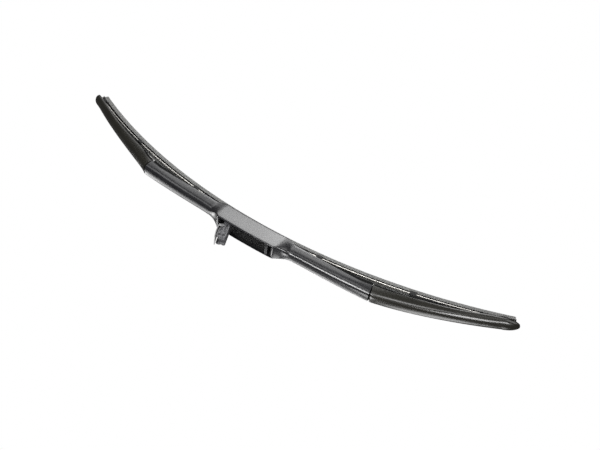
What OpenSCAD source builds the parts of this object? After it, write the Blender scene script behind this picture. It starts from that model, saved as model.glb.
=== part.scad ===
/* [Blade] */
// Length of the rubber along its curve
blade_len = 600; // [590:2:610]
// Radius of the unloaded blade, measured at the wiping lip
curve_r = 690; // [600:10:1200]
// Place of either seam, as a share of the way from the middle to a tip
seam_share = 0.5; // [0.49:0.01:0.52]
// Distance from the middle of the blade to the arm pin
pin_offset = 22; // [19:1:24]
// Height of the arm pin above the wiping lip
pin_h = 25; // [24.5:0.25:26]

/* [Rubber] */
// Height of the whole rubber strip
rubber_h = 11.6; // [11.2:0.1:11.8]
// Half thickness of the wiping lip at its edge
lip_half = 0.35; // [0.3:0.05:0.6]
// Half thickness of the thin neck that lets the lip flip over
neck_half = 0.45; // [0.4:0.05:0.7]
// Height of the neck above the wiping edge
neck_h = 4.2; // [3.6:0.1:4.4]
// Half width of the shoulders above the neck
shoulder_half = 2.4; // [2:0.1:3]
// Height of the top of the shoulders
shoulder_top = 6.4; // [6:0.1:6.8]
// Half width of the rubber inside the claw groove
groove_half = 1; // [0.8:0.05:1.2]
// Height at which the head of the rubber starts
head_low = 8.9; // [8.8:0.05:9.1]
// Half width of the head below the steel strips
flange_half = 2.6; // [2.2:0.1:3]
// Half width of the rib above the steel strips
rib_half = 1.6; // [1.3:0.1:1.8]

/* [Steel strips] */
// Height of the underside of the steel strips
strip_low = 9.8; // [9.7:0.05:10]
// Thickness of a steel strip
strip_t = 1; // [0.8:0.05:1.1]
// Distance from the mid plane to the inner edge of a strip
strip_in = 1; // [0.8:0.05:1.3]
// Distance from the mid plane to the outer edge of a strip
strip_out = 4; // [3.6:0.1:4.1]
// How far the rubber stands past each end of the strips
strip_short = 2; // [1:0.5:4]

/* [Levers] */
// Place of an inner yoke's pivot, as a share of the way to a tip
inner_yoke_share = 0.2; // [0.195:0.005:0.21]
// Distance from a tip back to the pivot of an outer yoke
outer_yoke_in = 61; // [60:1:64]
// Distance from an inner yoke's pivot to each of its claws
inner_reach = 25; // [23:1:26]
// Distance from an outer yoke's pivot to each of its claws
outer_reach = 48; // [46:1:48]
// Height of the yoke pivots
yoke_h = 15.1; // [15:0.05:15.3]
// Height of the seam hinges
hinge_h = 22; // [21.5:0.25:22.5]
// Length of a claw along the blade
claw_len = 7; // [6:0.5:8]
// Sheet thickness of the yokes
yoke_t = 0.8; // [0.7:0.05:0.9]
// Half width of a yoke between its claws
yoke_half = 1.8; // [1.7:0.05:1.85]
// Sheet thickness of the two section levers
lever_t = 0.75; // [0.6:0.05:0.8]
// Half width of a section lever
lever_half = 2.85; // [2.8:0.05:2.9]
// Sheet thickness of the bridge
bridge_t = 0.8; // [0.7:0.05:0.9]
// Half width of the bridge arms
bridge_half = 4.2; // [4.15:0.05:4.3]
// Half width of the bridge beside the arm pin
bridge_mid_half = 7.1; // [7:0.05:7.15]
// Height of the bridge arms at their lowest place
bridge_waist_h = 20.2; // [19.8:0.1:20.6]
// Height of the bridge beside the arm pin
bridge_mid_h = 29.4; // [28.6:0.2:29.8]
// Height of the bridge next to the seams
bridge_seam_h = 27.6; // [27.4:0.1:28.4]

/* [Pins] */
// Radius of the arm pin
arm_pin_r = 2; // [1.8:0.1:2.2]
// Radius of the two hinge rivets at the seams
hinge_r = 2; // [1.6:0.1:2.2]
// Radius of the four yoke rivets
yoke_rivet_r = 1.25; // [1:0.05:1.3]
// Radial play of every pin in its hole
pin_play = 0.05; // [0.03:0.01:0.08]
// How far a rivet head stands out round its pin
head_lip = 1; // [0.8:0.1:1.2]
// Thickness of a rivet head
head_t = 0.4; // [0.3:0.05:0.45]

/* [Covers] */
// Wall of the moulded covers
wall = 1.2; // [1:0.05:1.3]
// Height of the ridge at the waist of the centre cover
waist_ridge_h = 24.4; // [24:0.1:25.4]
// Height of the rear crest at the waist of the centre cover
waist_crest_h = 22.9; // [22.6:0.1:24]
// Height of the ridge at the seams
seam_ridge_h = 32.2; // [31.6:0.2:34]
// Height of the rear crest at the seams
seam_crest_h = 31.4; // [31:0.2:33]
// Height of the rim round the arm recess
rim_h = 31.5; // [31:0.25:33]
// Half width of the hump round the arm recess
hump_half = 9.4; // [9.2:0.1:10]
// Height of the skirts beside the arm recess
skirt_mid_h = 9.3; // [9:0.1:10]
// Height of the skirts at the waist
skirt_waist_h = 12.2; // [12:0.1:13]
// Height of the skirts at the seams
skirt_seam_h = 20.3; // [19.8:0.1:20.6]
// Height of the ridge near the tips
tip_ridge_h = 18.2; // [18:0.1:18.8]
// Height of the skirts at the tips
tip_skirt_h = 12; // [11.6:0.1:12.4]
// Gap between the covers at the hinge height
seam_gap = 0.5; // [0.4:0.05:0.7]
// Widest fold of an end section towards a flat glass, in degrees
fold_max = 6; // [5:0.25:6]

/* [Arm recess] */
// Length of the recess from the middle towards the left
recess_left = 31; // [30:0.5:32]
// Length of the recess from the middle towards the right
recess_right = 38; // [37:0.5:39]
// Half width of the recess opening
recess_half = 7.9; // [7.8:0.05:8]
// Distance of the cross bar from the right end of the recess
bar_back = 7.5; // [6.5:0.25:8]
// Thickness of the cross bar and of the ribs under the roof
rib_t = 1.4; // [1.2:0.1:1.6]

/* [Adaptor] */
// Half width of the adaptor
adaptor_half = 6; // [5.8:0.05:6.1]
// Width of the arm hook that the adaptor takes
hook_w = 9; // [8.8:0.1:9.2]
// Inside radius of the arm hook
hook_r = 3.75; // [3.6:0.05:3.9]
// Length of the adaptor from the pin to its free end
adaptor_len = 30; // [28:0.5:33]
// Height of the adaptor cheeks above the pin axis
cheek_h = 6.8; // [6.6:0.1:7]
// Angle of the adaptor above its stowed place
swing = 66; // [60:1:70]
// Thickness of the lid
lid_t = 1.1; // [0.9:0.1:1.2]

/* [Hidden] */

deg = 180 / PI;
play = 0.3;
tiny = 0.01;
big = 60;
half_len = blade_len / 2;
seam_at = half_len * seam_share;
inner_yoke_at = half_len * inner_yoke_share;
outer_yoke_at = half_len - outer_yoke_in;
side_play = 0.05;
hole_fn = 48;

// A place on the blade is given by s, the distance from the middle along
// the wiping edge, and h, the height above that edge. The arm pin is the
// origin of the part, +X runs to the right tip and +Z away from the glass.
function turn(s) = s / curve_r * deg;
function raw(s, h) = [(curve_r + h) * sin(turn(s)), (curve_r + h) * cos(turn(s)) - curve_r];
function at(s, h) = raw(s, h) - raw(-pin_offset, pin_h);
function at3(s, y, h) = [at(s, h)[0], y, at(s, h)[1]];

// Smooth step from 0 to 1
function ease(t) = t <= 0 ? 0 : t >= 1 ? 1 : t * t * (3 - 2 * t);
function mix(a, b, t) = a + (b - a) * t;
function clamp01(t) = min(1, max(0, t));

// Cubic curve through knots of [position, value], with level ends
function slope(k, i) =
    i == 0 || i == len(k) - 1 ? 0 : (k[i + 1][1] - k[i - 1][1]) / (k[i + 1][0] - k[i - 1][0]);
function hermite(k, i, t, w) =
    (2 * pow(t, 3) - 3 * t * t + 1) * k[i][1] + (pow(t, 3) - 2 * t * t + t) * w * slope(k, i)
    + (3 * t * t - 2 * pow(t, 3)) * k[i + 1][1] + (pow(t, 3) - t * t) * w * slope(k, i + 1);
function find(k, s, i = 0) = i >= len(k) - 2 || s <= k[i + 1][0] ? i : find(k, s, i + 1);
function through(k, s) =
    s <= k[0][0] ? k[0][1] : s >= k[len(k) - 1][0] ? k[len(k) - 1][1] :
    let (i = find(k, s), w = k[i + 1][0] - k[i][0])
    hermite(k, i, (s - k[i][0]) / w, w);

// Side view outline between two height functions
function strip(s0, s1, n, low, high) = concat(
    [for (i = [0:n]) let (s = mix(s0, s1, i / n)) at(s, high(s))],
    [for (i = [n:-1:0]) let (s = mix(s0, s1, i / n)) at(s, low(s))]
);

// A side view outline given the width of the part
module side(points, half_w) {
    rotate([90, 0, 0])
        linear_extrude(2 * half_w, center = true)
            polygon(points);
}

// A plan view outline that reaches through the whole part
module plan(points) {
    linear_extrude(6 * big, center = true)
        polygon(points);
}

// The space between two planes on either side of the mid plane
module slab(half_w) {
    plan([[-10 * big, -half_w], [10 * big, -half_w], [10 * big, half_w], [-10 * big, half_w]]);
}

// Carries a child to a place on the blade, upright on the curve
module here(s, h) {
    translate(at3(s, 0, h))
        rotate([0, turn(s), 0])
            children();
}

module cross_pin(s, h, r, half_w) {
    here(s, h)
        rotate([90, 0, 0])
            cylinder(r = r, h = 2 * half_w, center = true, $fn = hole_fn);
}

module headed_rivet(s, h, r, grip_half) {
    cross_pin(s, h, r, grip_half + side_play + head_t);
    for (dir = [-1, 1])
        here(s, h)
            translate([0, dir * (grip_half + side_play + head_t / 2), 0])
                rotate([90, 0, 0])
                    cylinder(r = r + head_lip, h = head_t, center = true, $fn = hole_fn);
}

// Shape of the hump round the arm recess: 1 on the hump, 0 at the waist
hump_mid = (recess_right - recess_left) / 2;
hump_reach = (recess_right + recess_left) / 2 + 4;
hump_run = 15;
waist_at = inner_yoke_at;
function hump(s, inset = 0) = 1 - ease((abs(s - hump_mid) - hump_reach + inset) / hump_run);

// Height of the hump: level over the recess, then a hollow curve down to the waist
crown_half = (recess_right + recess_left) / 2 + wall + play;
crown_run = 20;
crown_power = 2;
function crown(s) = pow(clamp01(1 - (abs(s - hump_mid) - crown_half) / crown_run), crown_power);

// How far a place has risen from the waist to the seam, from 0 to 1
rise_power = 1.25;
function rise(s) = pow(clamp01((abs(s) - waist_at) / (seam_at - waist_at)), rise_power);

// Rubber strip with two steel strips let into its head
lip_step = 0.15;
spline_slot = 0.05;
module along_blade(from, to) {
    translate([-raw(-pin_offset, pin_h)[0], 0, -raw(-pin_offset, pin_h)[1] - curve_r])
        rotate([90, 0, 0])
            rotate([0, 0, 90 - turn(to)])
                rotate_extrude(angle = turn(to) - turn(from), $fn = 720)
                    translate([curve_r, 0])
                        rotate(-90)
                            children();
}

function rubber_right() = [
    [lip_half, 0],
    [lip_half + lip_step, neck_h - 0.8],
    [neck_half, neck_h],
    [neck_half, neck_h + 0.6],
    [shoulder_half, neck_h + 1.2],
    [shoulder_half, shoulder_top],
    [groove_half, shoulder_top],
    [groove_half, head_low],
    [flange_half, head_low],
    [flange_half, strip_low - spline_slot],
    [strip_in - spline_slot, strip_low - spline_slot],
    [strip_in - spline_slot, strip_low + strip_t + spline_slot],
    [rib_half, strip_low + strip_t + spline_slot],
    [rib_half, rubber_h]
];
function mirrored(points) = [for (i = [len(points) - 1:-1:0]) [-points[i][0], points[i][1]]];

module rubber_element() {
    color([0.16, 0.16, 0.155])
        along_blade(-half_len, half_len)
            polygon(concat(rubber_right(), mirrored(rubber_right())));
}

module steel_strip(dir) {
    color([0.72, 0.71, 0.69])
        along_blade(-half_len + strip_short, half_len - strip_short)
            translate([dir > 0 ? strip_in : -strip_out, strip_low])
                square([strip_out - strip_in, strip_t]);
}

// Yokes: pressed channels with a pair of claws at each end
claw_play = 0.15;
claw_in = strip_out + claw_play;
claw_out = claw_in + yoke_t;
foot_t = 0.8;
foot_top = head_low - 0.2;
foot_in = groove_half + 0.4;
yoke_low = rubber_h + 0.15;
yoke_end_h = yoke_low + yoke_t;
yoke_rise = 2.3;
yoke_top_h = yoke_h + yoke_rise;
yoke_level = 3;
yoke_neck = 13;
yoke_widest = 18;
web_short = 0.5;

function yoke_flare(reach) = min(yoke_widest, reach - claw_len / 2 - 1);
function yoke_top(ds, reach) =
    mix(yoke_top_h, yoke_end_h, ease((abs(ds) - yoke_level) / (yoke_flare(reach) - yoke_level - 1)));
function yoke_plan(mid, reach, inset) = let (
        long = reach + claw_len,
        wide = claw_out - claw_bend - claw_lap - inset,
        slim = yoke_half - inset,
        xs = [-long, -yoke_flare(reach), -yoke_neck, yoke_neck, yoke_flare(reach), long],
        ws = [wide, wide, slim, slim, wide, wide]
    ) concat(
        [for (i = [0:5]) [at(mid + xs[i], yoke_end_h)[0], ws[i]]],
        [for (i = [5:-1:0]) [at(mid + xs[i], yoke_end_h)[0], -ws[i]]]
    );

claw_bend = 1;
claw_lap = 0.1;
function claw_right() = [
    [foot_in, foot_top - foot_t],
    [claw_out, foot_top - foot_t],
    [claw_out, yoke_end_h + claw_lap - claw_bend],
    [claw_out - claw_bend, yoke_end_h + claw_lap]
];
function claw_hollow() = [
    [claw_in, yoke_low - claw_lap / 2],
    [claw_in, foot_top],
    [foot_in, foot_top]
];
module claw_pair(s) {
    along_blade(s - claw_len / 2, s + claw_len / 2)
        polygon(concat(
            claw_right(), mirrored(claw_right()),
            mirrored(claw_hollow()), claw_hollow()
        ));
}

module yoke(mid, reach) {
    end = reach + claw_len / 2 - web_short;
    color([0.1, 0.1, 0.1]) {
        difference() {
            intersection() {
                side(strip(mid - end, mid + end, 24,
                    function (s) yoke_low,
                    function (s) yoke_top(s - mid, reach)), 2 * claw_out);
                plan(yoke_plan(mid, reach, 0));
            }
            side(strip(mid - yoke_flare(reach) + 2, mid + yoke_flare(reach) - 2, 16,
                function (s) yoke_low - 1,
                function (s) max(yoke_low - 1 + tiny, yoke_top(s - mid, reach) - yoke_t)),
                yoke_half - yoke_t);
            cross_pin(mid, yoke_h, yoke_rivet_r + pin_play, 2 * yoke_half);
        }
        claw_pair(mid - reach);
        claw_pair(mid + reach);
    }
}

// Section levers: from an inner yoke over the seam hinge to an outer yoke
lobe_r = 3.4;
lever_hinge_r = 3.2;
lever_peak = hinge_h + lever_hinge_r - yoke_h - lobe_r;
lever_low_end = yoke_h + side_play * 6 - lobe_r;
lever_low_step = 14.4;
lever_slot = 5;
lever_step = 6;

function lever_top(s) =
    let (u = abs(s), t = u < seam_at ? (seam_at - u) / (seam_at - inner_yoke_at)
                                     : (u - seam_at) / (outer_yoke_at - seam_at))
    yoke_h + lobe_r - claw_lap + lever_peak * pow(cos(90 * clamp01(t)), u < seam_at ? 3 : 2);
function lever_low(s) = lookup(abs(s), [
    [inner_yoke_at + lever_step, lever_low_end],
    [inner_yoke_at + 2 * lever_step, lever_low_step],
    [seam_at, hinge_h - lever_hinge_r],
    [outer_yoke_at - 2 * lever_step, lever_low_step],
    [outer_yoke_at - lever_step, lever_low_end]
]);

module section_lever(dir) {
    color([0.09, 0.09, 0.095])
        difference() {
            intersection() {
                union() {
                    side(strip(dir * inner_yoke_at, dir * outer_yoke_at, 36,
                        function (s) lever_low(s), function (s) lever_top(s)), 2 * lever_half);
                    cross_pin(dir * inner_yoke_at, yoke_h, lobe_r, 2 * lever_half);
                    cross_pin(dir * outer_yoke_at, yoke_h, lobe_r, 2 * lever_half);
                }
                slab(lever_half);
            }
            side(strip(dir * (inner_yoke_at + lever_slot - 1), dir * (outer_yoke_at - lever_slot + 1), 36,
                function (s) 0, function (s) lever_top(s) - lever_t), lever_half - lever_t);
            for (s = [inner_yoke_at, outer_yoke_at])
                side(strip(dir * (s - lever_slot), dir * (s + lever_slot), 2,
                    function (s) 0, function (s) big), lever_half - lever_t);
            cross_pin(dir * inner_yoke_at, yoke_h, yoke_rivet_r + pin_play, big);
            cross_pin(dir * outer_yoke_at, yoke_h, yoke_rivet_r + pin_play, big);
            cross_pin(dir * seam_at, hinge_h, hinge_r + pin_play, big);
        }
}

// Bridge: the main channel, open beside the arm pin and at both seams
bridge_lobe_r = 4.2;
bridge_fork = 8;
bridge_taper = 9;
bridge_web_end = seam_at - bridge_fork;
bridge_low_mid = 14.2;
bridge_above_skirt = 0.4;

function bridge_top(s) = bridge_waist_h
    + crown(s) * (bridge_mid_h - bridge_waist_h)
    + rise(s) * (bridge_seam_h - bridge_waist_h);
function bridge_low(s) = max(bridge_low_mid, skirt_at(s) + bridge_above_skirt);
function bridge_plan(inset) = let (
        mid = bridge_mid_half - inset,
        arm = bridge_half - inset,
        wide = hump_reach - 1,
        xs = [-seam_at - bridge_fork, hump_mid - wide - bridge_taper, hump_mid - wide,
              hump_mid + wide, hump_mid + wide + bridge_taper, seam_at + bridge_fork],
        ws = [arm, arm, mid, mid, arm, arm]
    ) concat(
        [for (i = [0:5]) [at(xs[i], hinge_h)[0], ws[i]]],
        [for (i = [5:-1:0]) [at(xs[i], hinge_h)[0], -ws[i]]]
    );

module bridge() {
    color([0.08, 0.08, 0.085])
        difference() {
            intersection() {
                union() {
                    side(strip(-seam_at, seam_at, 72,
                        function (s) bridge_low(s), function (s) bridge_top(s)), bridge_mid_half);
                    for (dir = [-1, 1])
                        cross_pin(dir * seam_at, hinge_h, bridge_lobe_r, bridge_mid_half);
                }
                plan(bridge_plan(0));
            }
            intersection() {
                side(strip(-bridge_web_end - 1, bridge_web_end + 1, 72,
                    function (s) 0, function (s) bridge_top(s) - bridge_t), bridge_mid_half);
                plan(bridge_plan(bridge_t));
            }
            for (dir = [-1, 1])
                side(strip(dir * bridge_web_end, dir * (seam_at + bridge_fork), 2,
                    function (s) 0, function (s) big), bridge_half - bridge_t);
            side(strip(-recess_left - wall - play, recess_right + wall + play, 4,
                function (s) bridge_low_mid - 1, function (s) big), bridge_mid_half - bridge_t);
            cross_pin(-pin_offset, pin_h, arm_pin_r + pin_play, big);
            for (dir = [-1, 1])
                cross_pin(dir * seam_at, hinge_h, hinge_r + pin_play, big);
        }
}

// Pins, rivets and the plastic liners that keep steel off steel
module arm_pin() {
    color([0.62, 0.62, 0.62])
        headed_rivet(-pin_offset, pin_h, arm_pin_r, bridge_mid_half);
}

module hinge_rivet(dir) {
    color([0.5, 0.5, 0.5])
        headed_rivet(dir * seam_at, hinge_h, hinge_r, bridge_half);
}

module yoke_rivet(s) {
    color([0.5, 0.5, 0.5])
        headed_rivet(s, yoke_h, yoke_rivet_r, lever_half);
}

module ring(s, h, r_in, r_out, y0, y1) {
    for (dir = [-1, 1])
        here(s, h)
            translate([0, dir * (y0 + y1) / 2, 0])
                rotate([90, 0, 0])
                    difference() {
                        cylinder(r = r_out, h = y1 - y0, center = true, $fn = hole_fn);
                        cylinder(r = r_in, h = 4 * y1, center = true, $fn = hole_fn);
                    }
}

module hinge_washers(dir) {
    color([0.2, 0.2, 0.21])
        ring(dir * seam_at, hinge_h, hinge_r + pin_play, lever_hinge_r,
            lever_half + side_play, bridge_half - bridge_t - side_play);
}

liner_r = 2;
module yoke_liner(s) {
    color([0.2, 0.2, 0.21])
        ring(s, yoke_h, yoke_rivet_r + pin_play, liner_r,
            yoke_half + side_play, lever_half - lever_t - side_play);
}

// Section of a cover at one place, from the rear skirt over the crest and
// the ridge to the front skirt, as points of [y, h]. The inside of the wall
// is the same section moved inwards by t.
wall_steps = 6;
roof_steps = 6;
roof_bulge = 1;
function bend(a, b, c, t) = (1 - t) * (1 - t) * a + 2 * t * (1 - t) * b + t * t * c;
function section(skirt_y, skirt_h, rear_y, crest, ridge, front_y, front_rise, t) = let (
        rear = [-skirt_y + t, skirt_h],
        front = [skirt_y - t, skirt_h],
        c = crest + [t, -t],
        r = ridge - [t, t]
    ) concat(
        [for (i = [0:wall_steps - 1])
            bend(rear, [rear_y + t, mix(skirt_h, c[1], 0.6)], c, i / wall_steps)],
        [for (i = [0:roof_steps - 1])
            bend(c, [mix(c[0], r[0], 0.5), max(c[1], r[1]) + roof_bulge], r, i / roof_steps)],
        [for (i = [0:wall_steps])
            bend(r, [front_y - t, mix(skirt_h, r[1], front_rise)], front, i / wall_steps)]
    );

// Height of the skirts of the centre cover, and its half width there
function skirt_at(s) = skirt_waist_h
    + hump(s, -4) * (skirt_mid_h - skirt_waist_h)
    + rise(s) * (skirt_seam_h - skirt_waist_h);
skirt_half = 7.3;
skirt_seam_half = 7.7;
crest_y = -8;
crest_seam_y = -9;
ridge_y = 4;
front_waist_y = 7.7;
front_seam_y = 6.9;
rear_y = -8.6;
seam_front_rise = 0.42;

rim_round = 0.3;
side_draft = 0.1;

function centre_crest(s) = let (w = hump(s), r = rise(s))
    [mix(mix(crest_y, crest_seam_y, r), rim_round - hump_half, w),
     mix(mix(waist_crest_h, seam_crest_h, r), rim_h, crown(s))];
function centre_ridge(s) = let (w = hump(s), r = rise(s))
    [mix(ridge_y, hump_half - rim_round, w),
     mix(mix(waist_ridge_h, seam_ridge_h, r), rim_h, crown(s))];
function centre_section(s, t = 0) = let (w = hump(s), r = rise(s)) section(
    mix(mix(skirt_half, skirt_seam_half, r), hump_half, w),
    skirt_at(s),
    mix(rear_y, -hump_half - side_draft, w),
    centre_crest(s),
    centre_ridge(s),
    mix(mix(front_waist_y, front_seam_y, r), hump_half + side_draft, w),
    seam_front_rise,
    t
);

// Height of the outside of a roof at a distance y from the mid plane
function roof(crest, ridge, y) =
    bend(crest[1], max(crest[1], ridge[1]) + roof_bulge, ridge[1],
        clamp01((y - crest[0]) / (ridge[0] - crest[0])));

// Rib that hangs from a roof and rests on the steel below it
rest_gap = 0.1;
module roof_rib(s, crest, ridge, low, half_w) {
    here(s, 0)
        rotate([90, 0, 90])
            linear_extrude(rib_t, center = true)
                polygon([
                    [-half_w, low + rest_gap],
                    [half_w, low + rest_gap],
                    [half_w, roof(crest, ridge, half_w) - wall / 2],
                    [-half_w, roof(crest, ridge, -half_w) - wall / 2]
                ]);
}

// Section of an end cover, u from 0 at the seam to 1 where the taper ends.
// A tip is given by how far it stands past the rubber, the length of its
// rounding, and how much the roof bulges half way.
right_tip = [4, 18, 1.4];
left_tip = [1, 6, -2.5];
tip_taper_in = 14;
tip_at = half_len - tip_taper_in;
tip_half = 7.4;
tip_draft = 0.2;
tip_front_y = 8.4;
tip_front_rise = 0.7;
tip_crest_y = -6.1;
tip_crest_drop = 1.4;
tip_ridge_y = 3;
tip_drop = 0.8;
lift_power = 0.6;
// Skirt line: place from the seam to the tip, and share of the way down
skirt_line = [[0, 0], [0.13, -0.07], [0.38, 0.1], [0.65, 0.39], [0.88, 0.95], [1, 1]];
function end_u(s) = clamp01((s - seam_at) / (tip_at - seam_at));
function end_skirt(s) = mix(skirt_seam_h, tip_skirt_h, through(skirt_line, end_u(s)));
function tip_end(tip) = half_len + tip[0];
function tip_round(s, tip) =
    sqrt(max(0.0001, 1 - pow(clamp01((s - tip_end(tip) + tip[1]) / tip[1]), 2)));
function end_lift(s, tip) = tip[2] * sin(180 * pow(end_u(s), lift_power));
function end_top(s, tip, from, to) = let (low = end_skirt(s))
    low + (mix(from, to, end_u(s)) + end_lift(s, tip) - low) * mix(1, tip_round(s, tip), tip_drop);
function end_crest(s, tip) =
    [mix(crest_seam_y, tip_crest_y, end_u(s)) * tip_round(s, tip),
     end_top(s, tip, seam_crest_h, tip_ridge_h - tip_crest_drop)];
function end_ridge(s, tip) =
    [mix(ridge_y, tip_ridge_y, end_u(s)) * tip_round(s, tip),
     end_top(s, tip, seam_ridge_h, tip_ridge_h)];
function end_section(s, tip, t = 0) = let (u = end_u(s), k = tip_round(s, tip)) section(
    mix(skirt_seam_half, tip_half, u) * k,
    end_skirt(s),
    mix(rear_y, -tip_half - tip_draft, u) * k,
    end_crest(s, tip),
    end_ridge(s, tip),
    mix(front_seam_y, tip_front_y, u) * k,
    mix(seam_front_rise, tip_front_rise, u),
    t
);

// Closed shell from a row of sections. The inner face stops early where the
// end of the shell is closed.
function placed(s, points) = [for (p = points) at3(s, p[0], p[1])];
function grid_faces(base, rows, cols, inside) = [
    for (i = [0:rows - 2], j = [0:cols - 2])
        let (a = base + i * cols + j, b = a + 1, c = a + cols + 1, d = a + cols)
        each inside ? [[a, c, b], [a, d, c]] : [[a, b, c], [a, c, d]]
];

module shell(outer, inner) {
    n = len(outer[0]);
    rows = len(outer);
    base = rows * n;
    last = len(inner) - 1;
    points = concat([for (row = outer) each row], [for (row = inner) each row]);
    skirts = [for (i = [0:last - 1]) let (a = i * n, b = base + i * n, e = n - 1) each [
        [a, b + n, b],
        [a, a + n, b + n],
        [a + e, b + e, b + n + e],
        [a + e, b + n + e, a + n + e]
    ]];
    start_cap = [for (j = [0:n - 2]) each [
        [j, base + j + 1, j + 1],
        [j, base + j, base + j + 1]
    ]];
    open_cap = [for (j = [0:n - 2]) let (a = last * n + j, b = base + last * n + j) each [
        [a, a + 1, b + 1],
        [a, b + 1, b]
    ]];
    closed_cap = let (a = last * n, b = base + last * n, e = n - 1) concat(
        [[for (j = [e:-1:0]) b + j]],
        [[a + n + e, a + e, b + e, b, a, a + n]],
        [for (i = [last + 1:rows - 2]) [i * n, (i + 1) * n, (i + 1) * n + e, i * n + e]],
        [[for (j = [0:e]) (rows - 1) * n + j]]
    );
    polyhedron(points, concat(
        grid_faces(0, rows, n, false),
        grid_faces(base, last + 1, n, true),
        skirts, start_cap,
        last + 1 == rows ? open_cap : closed_cap
    ));
}

// Stations along the centre cover, close together on the hump's slopes
cover_end = seam_at - seam_gap / 2;
function centre_stations() = let (
        a = hump_mid - crown_half,
        b = hump_mid + crown_half,
        slope_run = hump_reach + hump_run - crown_half
    ) concat(
        [for (i = [0:10]) mix(-cover_end, a - slope_run, i / 11)],
        [for (i = [0:9]) mix(a - slope_run, a, i / 10)],
        [for (i = [0:5]) mix(a, b, i / 6)],
        [for (i = [0:9]) mix(b, b + slope_run, i / 10)],
        [for (i = [0:11]) mix(b + slope_run, cover_end, i / 11)]
    );

// Cross wall in the recess: wide above the bridge, narrow between its plates
pocket_low = bridge_mid_h - 6;
module recess_wall(s0, s1) {
    sill = bridge_mid_h + play;
    tongue = bridge_mid_half - bridge_t - play;
    side(strip(s0, s1, 1, function (s) sill, function (s) rim_h - wall / 4), recess_half + wall / 2);
    side(strip(s0, s1, 1, function (s) pocket_low, function (s) sill + wall / 3), tongue);
}

module centre_cover() {
    stations = centre_stations();
    outer = [for (s = stations) placed(s, centre_section(s))];
    inner = [for (s = stations) placed(s, centre_section(s, wall))];
    bar = recess_right - bar_back;
    color([0.13, 0.13, 0.135]) {
        difference() {
            shell(outer, inner);
            side(strip(-recess_left, recess_right, 8,
                function (s) pocket_low, function (s) big), recess_half);
        }
        recess_wall(-recess_left - wall, -recess_left + tiny);
        recess_wall(bar - rib_t, bar);
        recess_wall(recess_right - tiny, recess_right + wall);
        for (dir = [-1, 1], share = [0.1, 0.45, 0.8])
            let (s = dir * mix(inner_yoke_at, seam_at, share))
                roof_rib(s, centre_crest(s), centre_ridge(s), bridge_top(s), bridge_half - 1);
    }
}

// The end of an end cover leans away from the seam above the hinge, so that
// the covers can fold towards each other
lean_run = 14;
function lean(s, h) = (1 - ease((s - seam_at) / lean_run))
    * (seam_gap / 2 + max(0, h - hinge_h) * sin(fold_max));
function leaning(s, points) = [for (p = points) at3(s + lean(s, p[1]), p[0], p[1])];

module end_cover_toward_right(tip) {
    steps = 22;
    stations = concat(
        [for (i = [0:steps - 1]) mix(seam_at, tip_at, pow(i / steps, 1.15))],
        [for (i = [0:7]) mix(tip_at, tip_end(tip), sin(90 * i / 7))]
    );
    closed_from = steps + 4;
    shell(
        [for (s = stations) leaning(s, end_section(s, tip))],
        [for (i = [0:closed_from]) leaning(stations[i], end_section(stations[i], tip, wall))]
    );
    for (share = [0.2, 0.52, 0.8])
        let (s = mix(seam_at, outer_yoke_at, share))
            roof_rib(s, end_crest(s, tip), end_ridge(s, tip), lever_top(s), lever_half - wall / 5);
}

module end_cover(dir) {
    color([0.1, 0.1, 0.095])
        if (dir > 0)
            end_cover_toward_right(right_tip);
        else
            translate([2 * at(0, 0)[0], 0, 0])
                mirror([1, 0, 0])
                    end_cover_toward_right(left_tip);
}

// Adaptor for a bent arm hook, drawn stowed along +X and swung up as found
core_len = adaptor_len - 2;
cheek_in = hook_w / 2 + 0.15;
lid_u = 11;
lid_v = 4.6;
stud_r = 1.3;
ear_t = 0.8;
ear_seat_r = 4;

module across(half_w) {
    rotate([90, 0, 0])
        linear_extrude(2 * half_w, center = true)
            children();
}

module adaptor_body() {
    color([0.42, 0.42, 0.43])
        rotate([0, -swing, 0])
            difference() {
                union() {
                    across(adaptor_half) {
                        circle(r = hook_r, $fn = hole_fn);
                        translate([0, -hook_r])
                            square([core_len, 2 * hook_r]);
                    }
                    across(adaptor_half)
                        polygon([
                            [lid_u + 4, -hook_r], [lid_u + 4, cheek_h - 1.5], [lid_u + 5.5, cheek_h],
                            [adaptor_len - 1.5, cheek_h], [adaptor_len, cheek_h - 1.5],
                            [adaptor_len, -hook_r + 1], [adaptor_len - 1, -hook_r]
                        ]);
                    across(adaptor_half - 0.9)
                        translate([lid_u, lid_v])
                            circle(r = 2, $fn = hole_fn);
                    across(adaptor_half)
                        translate([lid_u, lid_v])
                            circle(r = stud_r, $fn = hole_fn);
                }
                // Channel for the shank of the hook, and its open end
                translate([-hook_r - 1, -cheek_in, hook_r])
                    cube([adaptor_len + 2 * hook_r, 2 * cheek_in, 2 * cheek_h]);
                // Round seats for the ears of the lid, left standing round the studs
                for (dir = [-1, 1])
                    translate([lid_u, dir * (adaptor_half - ear_t + 1 - play / 3), lid_v])
                        rotate([90, 0, 0])
                            difference() {
                                cylinder(r = ear_seat_r, h = 2, center = true, $fn = hole_fn);
                                cylinder(r = stud_r, h = 3, center = true, $fn = hole_fn);
                            }
                // Notch in the free end of the core
                translate([adaptor_len - 3, -2, -hook_r - 1])
                    cube([4, 4, 2 * hook_r + 2]);
                // Bore for the arm pin and the slot it snaps in through
                rotate([90, 0, 0])
                    cylinder(r = arm_pin_r + pin_play, h = big, center = true, $fn = hole_fn);
                translate([-1.2, -big / 2, -2 * hook_r])
                    cube([2.4, big, 2 * hook_r]);
            }
}

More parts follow.
